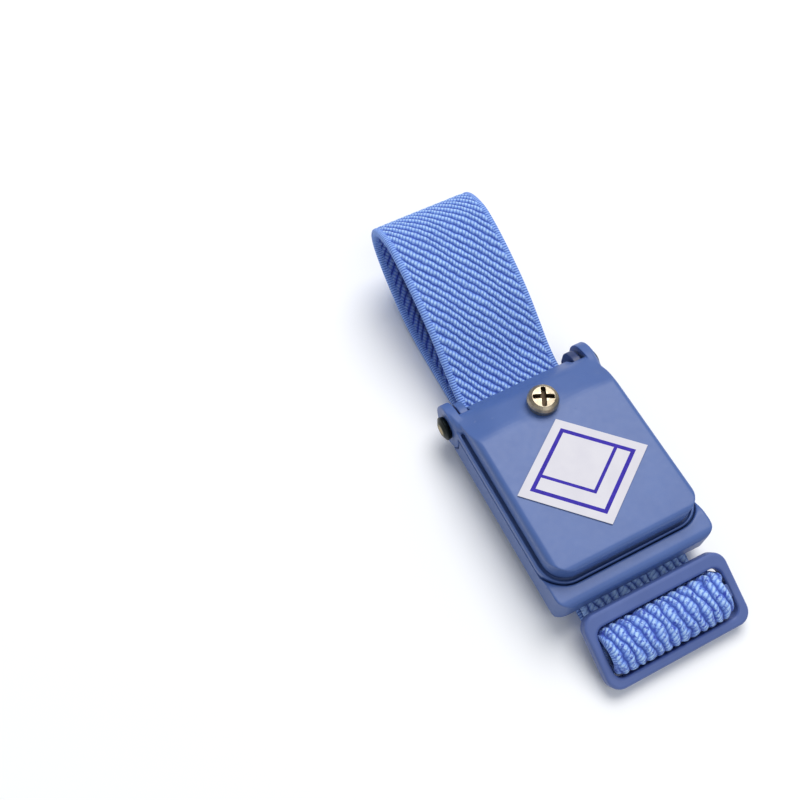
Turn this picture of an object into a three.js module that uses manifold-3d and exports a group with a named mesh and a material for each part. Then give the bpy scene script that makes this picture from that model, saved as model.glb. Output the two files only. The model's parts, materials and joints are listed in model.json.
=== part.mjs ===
// Cordless anti-static wrist strap: a hinged plastic case, a screw contact on its lid, an elastic woven
// band that forms the wrist loop, and a flat keeper ring round the band's folded end.
// Units are millimetres. X runs across the band, Y along the strap towards the loop, Z up from the table.

import * as THREE from 'three';
import { mergeVertices } from 'three/addons/utils/BufferGeometryUtils.js';
import Module from 'manifold-3d';

const wasm = await Module();
wasm.setup();

// ---------- driving dimensions ----------

const GAP = 0.3;                  // air left between neighbouring pieces
const PIN_CLEARANCE = 0.08;       // radial play of a shaft in its hole
const ARC_STEP = Math.PI / 24;    // largest turn between two points of a rounded corner
const ROUND_SIDES = 32;           // sides of a turned piece

const BAND_WIDTH = 20;
const BAND_THICKNESS = 1.35;
const BAND_TOP_IN_CASE = 4.75;    // height of the band's upper face inside the case

const CASE_HALF_WIDTH = 14.4;
const CASE_NEAR = -20;            // end of the case beside the keeper ring
const CASE_FAR = 17.2;            // end of the case's floor towards the loop
const CASE_BOTTOM = 2;
const CASE_TOP = 9.7;             // height of the shelf beside the ring, and of the lid's rim
const WALL = 1.4;
const FLOOR_TOP = 3;
const SEAT = 7.9;                 // top of the case's walls, under the lid's rim

const PAD_HALF_WIDTH = 13.5;      // raised part of the lid
const PAD_NEAR = -16.1;
const PAD_TOP = 13.6;
const PAD_CORNER = 4;
const LID_WALL = 1.5;
const LID_CEILING = 12;
const RIM_BOTTOM = SEAT + GAP;
const RIM_WIDTH = 0.75;           // narrow rim of the lid round its raised part
const LID_FAR = 18.4;             // edge of the lid between its ears

const HINGE = { y: 17, z: 6.4, radius: 0.6 };
const EAR = { inner: 12.6, radius: 3.9 };                    // lid's ears, on the outside of the hinge
const KNUCKLE = { inner: 10.5, outer: 12, radius: 3.1 };     // case's knuckles, inside the ears
const SCREW = { y: 11, radius: 1.45, hole: 1.53 };
const PLATE_RIVET_X = 8;
const CLAMP_RIVET = { x: 11.6, y: 10.7 };
const LEAF_RIVET = { x: 6.5, y: -2.5 };
const RESISTOR = { y: 3, z: 9.4 };

const FOLD = { y: -28, z: 3.6, radius: 3.6 };   // the band's rolled end inside the ring

// The keeper ring's own sizes run along it from the middle of the roll, before it is tilted.
const RING = { x: 1, halfWidth: 13.2, near: -5.5, far: 6.9, thickness: 2.4, tilt: 23 };
const RING_OPENING = { halfWidth: 11.6, near: -3.9, far: 4.55 };

// ---------- outlines ----------

const vector = ([x, y]) => new THREE.Vector2(x, y);

/** Points on a circular arc, both ends included. */
function arcPoints(centre, radius, start, end) {
  const steps = Math.max(2, Math.ceil(Math.abs(end - start) / ARC_STEP));
  return Array.from({ length: steps + 1 }, (_, i) => {
    const angle = start + (end - start) * (i / steps);
    return new THREE.Vector2(centre.x + radius * Math.cos(angle), centre.y + radius * Math.sin(angle));
  });
}

/** Closed outline through corners [x, y, radius]; a corner without a radius stays sharp. */
function rounded(corners) {
  const count = corners.length;
  return corners.flatMap((corner, i) => {
    const radius = corner[2] ?? 0;
    const here = vector(corner);
    if (radius === 0) return [here];
    const back = vector(corners[(i + count - 1) % count]).sub(here).normalize();
    const ahead = vector(corners[(i + 1) % count]).sub(here).normalize();
    const half = Math.acos(back.dot(ahead)) / 2;
    const centre = back.clone().add(ahead).normalize().multiplyScalar(radius / Math.sin(half)).add(here);
    const reach = radius / Math.tan(half);
    const first = back.clone().multiplyScalar(reach).add(here).sub(centre);
    const last = ahead.clone().multiplyScalar(reach).add(here).sub(centre);
    const start = first.angle();
    let sweep = last.angle() - start;
    if (sweep > Math.PI) sweep -= 2 * Math.PI;
    if (sweep < -Math.PI) sweep += 2 * Math.PI;
    return arcPoints(centre, radius, start, start + sweep);
  });
}

/** Rounded rectangle between two opposite corners. */
function rectangle(x0, y0, x1, y1, radius = 0) {
  return rounded([[x0, y0, radius], [x1, y0, radius], [x1, y1, radius], [x0, y1, radius]]);
}

/** Circle as a polygon. */
function circle(x, y, radius) {
  return arcPoints({ x, y }, radius, 0, 2 * Math.PI).slice(0, -1);
}

/** Closed outline of a strip of even thickness that lies to the left of the path's direction. */
function strip(path, thickness, below = 0) {
  const normals = path.map((point, i) => {
    const along = path[Math.min(i + 1, path.length - 1)].clone().sub(path[Math.max(i - 1, 0)]).normalize();
    return new THREE.Vector2(-along.y, along.x);
  });
  const shifted = (distance) => path.map((point, i) => point.clone().addScaledVector(normals[i], distance));
  return [...shifted(-below), ...shifted(thickness).reverse()];
}

// ---------- solids ----------

/** Turns a closed geometry into a solid for boolean work. */
function solid(geometry) {
  geometry.deleteAttribute('normal');
  geometry.deleteAttribute('uv');
  const welded = mergeVertices(geometry, 1e-5);
  return new wasm.Manifold(new wasm.Mesh({
    numProp: 3,
    vertProperties: new Float32Array(welded.attributes.position.array),
    triVerts: new Uint32Array(welded.index.array),
  }));
}

/** Turns a solid back into a geometry. */
function geometryOf(body) {
  const mesh = body.getMesh();
  const geometry = new THREE.BufferGeometry();
  geometry.setAttribute('position', new THREE.BufferAttribute(new Float32Array(mesh.vertProperties), 3));
  geometry.setIndex(new THREE.BufferAttribute(new Uint32Array(mesh.triVerts), 1));
  return geometry;
}

/** Outline in X and Y, raised between two heights. */
function upright(outline, low, high, holes = []) {
  const shape = new THREE.Shape(outline);
  shape.holes = holes.map((hole) => new THREE.Path(hole));
  const geometry = new THREE.ExtrudeGeometry(shape, { depth: high - low, bevelEnabled: false });
  return solid(geometry.translate(0, 0, low));
}

/** Outline in Y and Z, carried from one X to another. */
function across(outline, left, right) {
  const shape = new THREE.Shape(outline);
  const geometry = new THREE.ExtrudeGeometry(shape, { depth: right - left, bevelEnabled: false });
  const axes = new THREE.Matrix4().makeBasis(
    new THREE.Vector3(0, 1, 0), new THREE.Vector3(0, 0, 1), new THREE.Vector3(1, 0, 0));
  return solid(geometry.applyMatrix4(axes).translate(left, 0, 0));
}

/** Outline in X and Z, carried from one Y to another. */
function along(outline, near, far) {
  const shape = new THREE.Shape(outline);
  const geometry = new THREE.ExtrudeGeometry(shape, { depth: far - near, bevelEnabled: false });
  return solid(geometry.rotateX(Math.PI / 2).translate(0, far, 0));
}

/** Plate with softened edges, from an outline in X and Y with holes. */
function softPlate(outline, holes, low, high, softness) {
  const shape = new THREE.Shape(outline);
  shape.holes = holes.map((hole) => new THREE.Path(hole));
  const geometry = new THREE.ExtrudeGeometry(shape, {
    depth: high - low - 2 * softness,
    bevelThickness: softness,
    bevelSize: softness,
    bevelOffset: -softness,
    bevelSegments: 3,
  });
  return solid(geometry.translate(0, 0, low + softness));
}

/** Piece turned about an upright axis; the profile lists [radius, height], from axis to axis. */
function turned(profile, x, y) {
  const geometry = new THREE.LatheGeometry(profile.map(vector), ROUND_SIDES);
  return solid(geometry.rotateX(Math.PI / 2).translate(x, y, 0));
}

/** Upright cylinder. */
function post(x, y, radius, low, high) {
  return upright(circle(x, y, radius), low, high);
}

/** Round bar along X. */
function crossBar(y, z, radius, left, right) {
  return across(circle(y, z, radius), left, right);
}

/** Calls a maker for the left and the right side and joins the two results. */
function bothSides(make) {
  return make(-1).add(make(1));
}

// ---------- the band's route ----------

/** Route of the band's outer face: fixed end, wrist loop, flat run, roll through the ring, free end. */
function bandRoute() {
  const wristLoop = new THREE.SplineCurve([
    [6.5, BAND_TOP_IN_CASE], [10, BAND_TOP_IN_CASE], [14, BAND_TOP_IN_CASE], [17, 4.7], [20, 4.95],
    [23.5, 6.4], [27, 8.8], [31, 11.5], [34.5, 13.4], [38, 14.9], [41.5, 16.2], [45.4, 17.3], [49, 17.7],
    [52.8, 16.6], [55.3, 14.6], [56, 12.2], [54.7, 9.3], [51, 6], [47.2, 3.6], [43.4, 1.7], [39.5, 0.6],
    [35.5, 0.1], [32, 0],
  ].map(vector)).getPoints(132);
  const rollEnd = -11 / 6 * Math.PI;
  const roll = arcPoints({ x: FOLD.y, y: FOLD.z }, FOLD.radius, -Math.PI / 2, rollEnd);
  const freeEnd = new THREE.SplineCurve([
    [FOLD.y + FOLD.radius * Math.cos(rollEnd), FOLD.z + FOLD.radius * Math.sin(rollEnd)],
    [-24.25, 4.4], [-23.4, 3.8], [-22.3, 3.75], [-21.2, 4.05], [-20.2, 4.4], [-19, 4.65], [-17.5, 4.74],
    [-15, BAND_TOP_IN_CASE], [-10, BAND_TOP_IN_CASE], [-6.5, BAND_TOP_IN_CASE],
  ].map(vector)).getPoints(60);
  return [...wristLoop, ...roll, ...freeEnd.slice(1)];
}

/** Elastic webbing along the whole route. */
function wristBand() {
  const half = BAND_WIDTH / 2;
  return across(strip(bandRoute().reverse(), BAND_THICKNESS), -half, half);
}

/** Room the band needs where it enters the case. */
function bandPassage() {
  const half = BAND_WIDTH / 2 + 0.4;
  const entering = bandRoute().filter((point) => point.x > CASE_NEAR - 3 && point.x < -6 && point.y > 2.8);
  return across(strip(entering.reverse(), BAND_THICKNESS + GAP, GAP), -half, half);
}

// ---------- the case ----------

/** Outer body of the case before it is hollowed. */
function caseBlank() {
  const half = CASE_HALF_WIDTH;
  const plan = rounded([
    [-half, CASE_NEAR, 2.2], [half, CASE_NEAR, 2.2], [half, CASE_FAR], [-half, CASE_FAR],
  ]);
  const side = rounded([
    [CASE_NEAR, CASE_BOTTOM, 3], [CASE_FAR, CASE_BOTTOM, 0.5],
    [CASE_FAR, CASE_TOP], [CASE_NEAR, CASE_TOP, 1.2],
  ]);
  const front = rounded([
    [-half, CASE_BOTTOM, 1.6], [half, CASE_BOTTOM, 1.6], [half, CASE_TOP], [-half, CASE_TOP],
  ]);
  return upright(plan, 0, CASE_TOP)
    .intersect(across(side, -half, half))
    .intersect(along(front, CASE_NEAR, CASE_FAR));
}

/** Outline of the lid's raised part, grown by a margin and open at the far end. */
function padOutline(margin, far) {
  const half = PAD_HALF_WIDTH + margin;
  const corner = PAD_CORNER + margin;
  const near = PAD_NEAR - margin;
  return rounded([[-half, near, corner], [half, near, corner], [half, far], [-half, far]]);
}

/** Outline of the lid's rim, grown by a margin. */
function rimOutline(margin, far) {
  const half = CASE_HALF_WIDTH + margin;
  const near = PAD_NEAR - RIM_WIDTH - margin;
  const corner = PAD_CORNER + RIM_WIDTH + margin;
  return rounded([[-half, near, corner], [half, near, corner], [half, far], [-half, far]]);
}

/** Hinge knuckle that stands on the case's floor. */
function knuckle(side) {
  const { radius } = KNUCKLE;
  const outline = rounded([
    [HINGE.y - radius - 1, FLOOR_TOP - 0.6], [CASE_FAR, FLOOR_TOP - 0.6], [HINGE.y + radius, 4.6, 1.2],
    [HINGE.y + radius, HINGE.z + radius, radius], [HINGE.y - radius, HINGE.z + radius, radius],
  ]);
  const [left, right] = side < 0 ? [-KNUCKLE.outer, -KNUCKLE.inner] : [KNUCKLE.inner, KNUCKLE.outer];
  return across(outline, left, right);
}

/** Space cleared beside each knuckle for the lid's ear. */
function earRoom(side) {
  const inner = EAR.inner - GAP;
  const [left, right] = side < 0 ? [-16, -inner] : [inner, 16];
  return crossBar(HINGE.y, HINGE.z, EAR.radius + GAP, left, right)
    .add(across(rectangle(14.8, 0, 24, 12), left, right));
}

/** Open tray with a hinge knuckle at each far corner and a slot for the band in its near end. */
function caseBase() {
  const inside = CASE_HALF_WIDTH - WALL;
  const cavity = upright(rectangle(-inside, -16.6, inside, 24, 3), FLOOR_TOP, 12);
  const platePocket = upright(rectangle(-11.8, -13.3, 11.8, 13.3, 2.3), 0, 2.2);
  const bosses = bothSides((side) => post(side * CLAMP_RIVET.x, CLAMP_RIVET.y, 1.2, FLOOR_TOP - 0.2, 4.75));
  return caseBlank()
    .subtract(cavity)
    .add(bosses)
    .subtract(bothSides(earRoom))
    .subtract(upright(rimOutline(GAP, 24), SEAT, 20))
    .add(bothSides(knuckle))
    .subtract(bandPassage())
    .subtract(platePocket)
    .subtract(crossBar(HINGE.y, HINGE.z, HINGE.radius + PIN_CLEARANCE, -16, 16))
    .subtract(bothSides((side) => post(side * CLAMP_RIVET.x, CLAMP_RIVET.y, 0.65, 0, 6)))
    .subtract(bothSides((side) => post(side * PLATE_RIVET_X, 0, 0.9, 0, 6)))
    .subtract(post(0, 0, 1.3, 0, 6));
}

/** Raised part of the lid: flat top that rolls down to the hinge between the ears. */
function pad() {
  const side = rounded([
    [PAD_NEAR, RIM_BOTTOM], [13.8, RIM_BOTTOM], [15.3, 5.2, 1.1], [LID_FAR, 5.2, 1.2], [LID_FAR, 7.8, 1.6],
    [15.4, 11.6, 4], [9.5, PAD_TOP, 7], [PAD_NEAR, PAD_TOP, 1],
  ]);
  const half = PAD_HALF_WIDTH;
  const front = rounded([[-half, 4], [half, 4], [half, PAD_TOP, 1.1], [-half, PAD_TOP, 1.1]]);
  return upright(padOutline(0, 19.5), 4, 15)
    .intersect(across(side, -half, half))
    .intersect(along(front, PAD_NEAR, 20));
}

/** Rim round the foot of the raised part. */
function rim() {
  return softPlate(rimOutline(0, 15.4), [], RIM_BOTTOM, CASE_TOP, 0.25);
}

/** Deep undercut crease between the rim and the raised part. */
function crease() {
  const far = 14.8;
  const opening = 0.4;
  const undercut = 0.4;
  const bottom = RIM_BOTTOM + 0.5;
  return upright(padOutline(opening, far), bottom, PAD_TOP)
    .subtract(upright(padOutline(0, far), CASE_TOP + 0.2, PAD_TOP + 1))
    .subtract(upright(padOutline(-undercut, far + 1), 0, PAD_TOP + 1));
}

/** Ear round one end of the hinge pin, with a shoulder that blends it into the raised part. */
function ear(side) {
  const half = CASE_HALF_WIDTH;
  const span = (outer) => (side < 0 ? [-outer, -EAR.inner] : [EAR.inner, outer]);
  const root = crossBar(HINGE.y, HINGE.z + 0.6, EAR.radius - 0.6, ...span(half - 0.3));
  const crest = crossBar(14.4, 10.6, 1.2, ...span(PAD_HALF_WIDTH));
  const foot = crossBar(15.2, RIM_BOTTOM + 0.8, 0.8, ...span(half));
  const shoulder = wasm.Manifold.hull([root, crest, foot])
    .intersect(upright(rectangle(-half, 0, half, 24), RIM_BOTTOM, PAD_TOP));
  return crossBar(HINGE.y, HINGE.z, EAR.radius, ...span(half)).add(shoulder);
}

/** Space inside the lid. */
function lidHollow() {
  const near = PAD_NEAR + LID_WALL;
  const half = PAD_HALF_WIDTH - LID_WALL;
  const side = rounded([
    [near, 4], [15.2, 4], [15.2, 9], [14.4, 11, 1.2], [10.5, LID_CEILING, 2], [near, LID_CEILING, 0.5],
  ]);
  const plan = rectangle(-half, near, half, 19, PAD_CORNER - LID_WALL);
  return upright(plan, 3, 14).intersect(across(side, -half, half));
}

/** Slot in the lid that one knuckle turns in. */
function knuckleSlot(side) {
  const inner = KNUCKLE.inner - GAP;
  const [left, right] = side < 0 ? [-EAR.inner, -inner] : [inner, EAR.inner];
  return crossBar(HINGE.y, HINGE.z, KNUCKLE.radius + GAP, left, right)
    .add(across(rectangle(13, 3, 20, HINGE.z), left, right))
    .add(across(rectangle(HINGE.y, 3, 20, 7.9), left, right));
}

/** Lid with its ears, clamping rib, spring boss, screw seat and screw hole. */
function caseCover() {
  const clampingRib = upright(rectangle(-9, -14.2, 9, -11.2, 0.4), 6.6, LID_CEILING + 0.5);
  const springBoss = post(LEAF_RIVET.x, LEAF_RIVET.y, 1.6, 9.6, LID_CEILING + 0.5);
  const screwSeat = post(0, SCREW.y, 2.6, LID_CEILING - 0.5, PAD_TOP);
  return pad()
    .add(rim())
    .subtract(crease())
    .add(bothSides(ear))
    .subtract(lidHollow())
    .subtract(bothSides(knuckleSlot))
    .add(clampingRib)
    .add(springBoss)
    .add(screwSeat)
    .subtract(post(LEAF_RIVET.x, LEAF_RIVET.y, 0.6, 8, 11.5))
    .subtract(post(0, SCREW.y, SCREW.hole, 8, 16))
    .subtract(crossBar(HINGE.y, HINGE.z, HINGE.radius + PIN_CLEARANCE, -16, 16));
}

/** Hinge pin with a riveted head outside each ear. */
function hingePin() {
  const face = CASE_HALF_WIDTH + 0.1;
  const shaft = crossBar(HINGE.y, HINGE.z, HINGE.radius, -face - 0.2, face + 0.2);
  const head = (side) => {
    const outline = rounded([[0, 0], [2, 0], [2.2, 0.7, 0.3], [1.2, 1.2, 0.4], [0, 1.2]]);
    const geometry = new THREE.LatheGeometry(outline, ROUND_SIDES).rotateZ(-side * Math.PI / 2);
    return solid(geometry.translate(side * face, HINGE.y, HINGE.z));
  };
  return shaft.add(bothSides(head));
}

/** Skin-contact plate in the underside. */
function skinPlate() {
  const holes = [circle(-PLATE_RIVET_X, 0, 0.9), circle(PLATE_RIVET_X, 0, 0.9), circle(0, 0, 1.3)];
  return upright(rectangle(-11.5, -13, 11.5, 13, 2), 1.65, 2.05, holes);
}

/** Rivet that holds the skin plate to the floor, on the left (-1) or the right (1). */
function plateRivet(side) {
  const profile = [[0, 1.75], [0.8, 1.75], [0.8, 3.15], [1.5, 3.15], [1.3, 3.6], [0.7, 3.8], [0, 3.85]];
  return turned(profile, side * PLATE_RIVET_X, 0);
}

/** Brass stud from the skin plate up to the lid's spring contact. */
function contactStud() {
  const profile = [[0, 1.75], [1.2, 1.75], [1.2, 3.15], [2.6, 3.15], [2.6, 3.9], [1.5, 4.1], [1.5, 8.2],
    [1.1, 8.6], [0, 8.6]];
  return turned(profile, 0, 0);
}

/** Steel bar that clamps the band's fixed end. */
function bandClamp() {
  const { x, y } = CLAMP_RIVET;
  const holes = [circle(-x, y, 0.65), circle(x, y, 0.65)];
  return upright(rectangle(-x - 1, y - 2.1, x + 1, y + 2.1, 0.8), 5.05, 5.65, holes);
}

/** Rivet through the clamp bar, on the left (-1) or the right (1). */
function clampRivet(side) {
  const profile = [[0, 2.5], [0.55, 2.5], [0.55, 5.75], [1.1, 5.75], [0.9, 6.15], [0.5, 6.3], [0, 6.35]];
  return turned(profile, side * CLAMP_RIVET.x, CLAMP_RIVET.y);
}

// ---------- contacts in the lid ----------

/** Pan-head screw with a cross recess. */
function dischargeScrew() {
  const seat = PAD_TOP + 0.1;
  const head = [
    [0, 7.5], [1.2, 7.5], [SCREW.radius, 7.8], [SCREW.radius, seat], [2.7, seat], [2.7, seat + 0.9],
    [2.45, seat + 1.4], [1.9, seat + 1.75], [1, seat + 1.9], [0, seat + 1.95],
  ];
  const arm = (turn) => upright(rectangle(-1.85, -0.42, 1.85, 0.42, 0.3), seat + 0.8, seat + 3)
    .rotate([0, 0, turn]).translate([0, SCREW.y, 0]);
  const crossTurn = -26;
  return turned(head, 0, SCREW.y).subtract(arm(crossTurn)).subtract(arm(crossTurn + 90));
}

/** Washer under the lid's ceiling. */
function screwWasher() {
  return upright(circle(0, SCREW.y, 2.7), 9.95, 10.3, [circle(0, SCREW.y, SCREW.hole)]);
}

/** Hexagon nut. */
function screwNut() {
  const corners = Array.from({ length: 6 }, (_, i) => new THREE.Vector2(
    3.15 * Math.cos(i * Math.PI / 3), SCREW.y + 3.15 * Math.sin(i * Math.PI / 3)));
  return upright(corners, 7.9, 9.7, [circle(0, SCREW.y, SCREW.hole)]);
}

/** Brass strip from the screw to the resistor's first lead. */
function contactStrip() {
  const outline = rounded([
    [-6.8, 2, 0.5], [-4.8, 2, 0.5], [-4.8, 6.4, 0.6], [2.6, 8, 1.5], [2.8, SCREW.y + 2.8, 2],
    [-2.8, SCREW.y + 2.8, 2], [-3.2, 8.6, 1], [-6.8, 7.4, 0.8],
  ]);
  return upright(outline, 10.6, 10.9, [circle(0, SCREW.y, SCREW.hole)]);
}

/** Resistor body, lying across the lid. */
function seriesResistor() {
  const { y, z } = RESISTOR;
  const barrel = crossBar(y, z, 1, -2.6, 2.6);
  const cap = (side) => crossBar(y, z, 1.2, side < 0 ? -3.2 : 2, side < 0 ? -2 : 3.2);
  return barrel.add(bothSides(cap));
}

/** Round wire through a list of points. */
function wire(points) {
  const path = new THREE.CatmullRomCurve3(points.map((point) => new THREE.Vector3(...point)));
  const section = circle(0, 0, 0.3).filter((_, i) => i % 4 === 0);
  const geometry = new THREE.ExtrudeGeometry(new THREE.Shape(section), { steps: 16, extrudePath: path });
  return solid(geometry);
}

/** Lead from the resistor up to the screw's contact strip. */
function stripLead() {
  const { y, z } = RESISTOR;
  return wire([[-3.5, y, z], [-4.8, y, z], [-5.7, y, z + 0.2], [-5.8, y, z + 0.8]]);
}

/** Lead from the resistor down to the spring leaf. */
function leafLead() {
  const { y, z } = RESISTOR;
  return wire([[3.5, y, z], [5.2, y, z + 0.1], [6.3, y - 0.6, z + 0.4], [6.5, y - 2, z + 0.5]]);
}

/** Spring leaf from the resistor's second lead to the stud. */
function contactLeaf() {
  const outline = rounded([
    [-1.8, -1.6, 0.6], [4.6, -4.4, 0.8], [8.2, -4.4, 1], [8.2, 1.6, 0.8], [5, 1.6, 0.6], [4.6, -0.4, 0.6],
    [-1.8, 1.6, 0.6],
  ]);
  return upright(outline, 8.9, 9.2, [circle(LEAF_RIVET.x, LEAF_RIVET.y, 0.65)]);
}

/** Rivet that fixes the spring leaf to its boss. */
function leafRivet() {
  const profile = [[0, 8.2], [0.7, 8.3], [1.1, 8.6], [1.1, 8.8], [0.5, 8.8], [0.5, 11.2], [0, 11.2]];
  return turned(profile, LEAF_RIVET.x, LEAF_RIVET.y);
}

/** Serrated steel plate that bites the free end of the band when the lid is shut. */
function gripPlate() {
  const near = -14.4;
  const teeth = 5;
  const pitch = 0.68;
  const low = BAND_TOP_IN_CASE + GAP;
  const profile = [new THREE.Vector2(near, 6.3)];
  for (let tooth = 0; tooth < teeth; tooth += 1) {
    profile.push(new THREE.Vector2(near + tooth * pitch, low + 0.6));
    profile.push(new THREE.Vector2(near + (tooth + 0.7) * pitch, low));
  }
  profile.push(new THREE.Vector2(near + teeth * pitch, low + 0.6));
  profile.push(new THREE.Vector2(near + teeth * pitch, 6.3));
  return across(profile, -9, 9);
}

/** Printed label, a slightly turned diamond on the lid. */
function label() {
  const halfWidth = 11.6;
  const halfLength = 9.85;
  const diamond = [[0, -halfLength], [halfWidth, 0], [0, halfLength], [-halfWidth, 0]].map(vector);
  return upright(diamond, PAD_TOP + 0.1, PAD_TOP + 0.25).rotate([0, 0, -4.8]).translate([-0.6, -2.65, 0]);
}

// ---------- keeper ring ----------

/** Flat ring round the band's roll, leaning on the band, with a small nub inside its right end. */
function keeperRing() {
  const { halfWidth, near, far, thickness, tilt, x } = RING;
  const outline = rectangle(-halfWidth, near, halfWidth, far, 2.4);
  const opening = rectangle(-RING_OPENING.halfWidth, RING_OPENING.near, RING_OPENING.halfWidth,
    RING_OPENING.far, 1.6);
  const inside = RING_OPENING.halfWidth;
  const nub = softPlate(rectangle(inside - 1.1, -1, inside + 0.5, 1.3, 0.6), [], 0, thickness - 0.3, 0.25);
  return softPlate(outline, [opening], 0, thickness, 0.5)
    .add(nub)
    .translate([x, 0, -thickness / 2])
    .rotate([tilt, 0, 0])
    .translate([0, FOLD.y, FOLD.z]);
}

/** Flat bar inside the roll, which stops the band from pulling through the ring. */
function foldBar() {
  const profile = rectangle(FOLD.y - 1.8, FOLD.z - 1.05, FOLD.y + 1.8, FOLD.z + 1.05, 0.9);
  return across(profile, -9.2, 9.2);
}

// ---------- assembly ----------

const SLATE_BLUE = 0x6076b4;
const BAND_BLUE = 0x5a78d8;
const BRASS = 0xc2a46a;
const STEEL = 0xb4b8bc;

const pieces = [
  ['case_base', caseBase(), SLATE_BLUE, 0.5, 0],
  ['case_cover', caseCover(), SLATE_BLUE, 0.5, 0],
  ['hinge_pin', hingePin(), 0x5a4a2c, 0.4, 1],
  ['skin_plate', skinPlate(), STEEL, 0.3, 1],
  ['plate_rivet_left', plateRivet(-1), STEEL, 0.4, 1],
  ['plate_rivet_right', plateRivet(1), STEEL, 0.4, 1],
  ['contact_stud', contactStud(), BRASS, 0.35, 1],
  ['band_clamp', bandClamp(), STEEL, 0.4, 1],
  ['clamp_rivet_left', clampRivet(-1), STEEL, 0.4, 1],
  ['clamp_rivet_right', clampRivet(1), STEEL, 0.4, 1],
  ['discharge_screw', dischargeScrew(), 0xd0bf98, 0.3, 1],
  ['screw_washer', screwWasher(), STEEL, 0.4, 1],
  ['screw_nut', screwNut(), BRASS, 0.35, 1],
  ['contact_strip', contactStrip(), BRASS, 0.35, 1],
  ['series_resistor', seriesResistor(), 0x8fb7c9, 0.5, 0],
  ['strip_lead', stripLead(), STEEL, 0.4, 1],
  ['leaf_lead', leafLead(), STEEL, 0.4, 1],
  ['contact_leaf', contactLeaf(), BRASS, 0.35, 1],
  ['leaf_rivet', leafRivet(), STEEL, 0.4, 1],
  ['grip_plate', gripPlate(), STEEL, 0.4, 1],
  ['label', label(), 0xebe8f0, 0.6, 0],
  ['wrist_band', wristBand(), BAND_BLUE, 0.9, 0],
  ['fold_bar', foldBar(), 0x101014, 0.3, 0],
  ['keeper_ring', keeperRing(), SLATE_BLUE, 0.5, 0],
];

/** Shift that puts the origin at the bottom centre of the whole strap. */
function originShift(geometries) {
  const bounds = new THREE.Box3();
  geometries.forEach((geometry) => {
    geometry.computeBoundingBox();
    bounds.union(geometry.boundingBox);
  });
  const centre = bounds.getCenter(new THREE.Vector3());
  return new THREE.Vector3(-centre.x, -centre.y, -bounds.min.z);
}

const geometries = pieces.map(([, body]) => geometryOf(body));
const shift = originShift(geometries);
const group = new THREE.Group();
group.name = 'esd_wrist_strap';
pieces.forEach(([name, , color, roughness, metalness], i) => {
  const geometry = geometries[i].translate(shift.x, shift.y, shift.z);
  const mesh = new THREE.Mesh(geometry, new THREE.MeshStandardMaterial({ color, roughness, metalness }));
  mesh.name = name;
  group.add(mesh);
});

export default group;
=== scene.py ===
"""Cordless anti-static wrist strap: woven band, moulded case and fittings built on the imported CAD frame."""
import json
import math

import bmesh
import bpy
import numpy as np
from mathutils import Matrix, Vector

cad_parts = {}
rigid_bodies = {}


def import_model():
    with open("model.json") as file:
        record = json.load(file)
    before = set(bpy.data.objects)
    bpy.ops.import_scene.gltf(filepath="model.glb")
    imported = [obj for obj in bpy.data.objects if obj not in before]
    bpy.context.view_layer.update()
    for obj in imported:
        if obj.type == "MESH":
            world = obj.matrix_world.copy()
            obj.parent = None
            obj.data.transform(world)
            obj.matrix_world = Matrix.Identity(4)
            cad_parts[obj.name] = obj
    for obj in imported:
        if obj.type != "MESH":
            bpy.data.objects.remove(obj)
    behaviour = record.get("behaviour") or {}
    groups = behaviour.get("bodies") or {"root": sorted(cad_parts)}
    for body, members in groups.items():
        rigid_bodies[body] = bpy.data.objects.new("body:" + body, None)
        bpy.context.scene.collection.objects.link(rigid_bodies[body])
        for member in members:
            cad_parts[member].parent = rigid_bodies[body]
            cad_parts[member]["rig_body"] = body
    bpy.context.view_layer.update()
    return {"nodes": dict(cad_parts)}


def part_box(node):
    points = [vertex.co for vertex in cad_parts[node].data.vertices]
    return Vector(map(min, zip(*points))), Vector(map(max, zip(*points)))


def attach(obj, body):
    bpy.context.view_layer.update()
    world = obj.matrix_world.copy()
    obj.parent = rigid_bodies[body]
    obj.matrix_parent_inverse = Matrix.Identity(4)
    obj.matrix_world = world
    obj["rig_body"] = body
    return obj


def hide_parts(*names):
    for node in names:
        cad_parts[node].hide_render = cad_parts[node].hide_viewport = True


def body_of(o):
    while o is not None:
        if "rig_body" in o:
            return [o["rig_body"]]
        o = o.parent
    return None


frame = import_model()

MM = 0.001

# The case's own axes: origin under the middle of the case, in millimetres.
CASE_NEAR_END = -20.0
ORIGIN_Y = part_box("case_base")[0].y - CASE_NEAR_END * MM

# The band, in millimetres.
BAND_WIDTH = 20.0
BAND_THICKNESS = 1.35
BAND_TOP_IN_CASE = 4.75
FOLD_Y = -28.0
FOLD_RADIUS = 3.6
RELIEF_ROOM = 0.1          # how far the highest yarns stand above the CAD band
EDGE_ROUND = 0.62          # how far in from each edge the band is rounded
CUSHION_ROUND = 2.4        # how far in from each edge the roll is plumped
PATH_SPACING = 0.05
OUTER_COLUMNS, INNER_COLUMNS, EDGE_COLUMNS = 104, 54, 5

# The roll inside the ring: how far it differs from a plain wrap, in millimetres.
ROLL_SHIFT = 0.6           # moved to the right
ROLL_SPREAD = 0.1          # widened, for each millimetre from the middle
ROLL_CURL = 0.65           # edges drawn inwards
ROLL_BULGE = 0.6           # middle swollen outwards where the roll ends
ROLL_FLARE = 0.85          # right edge widened where the roll ends

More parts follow.
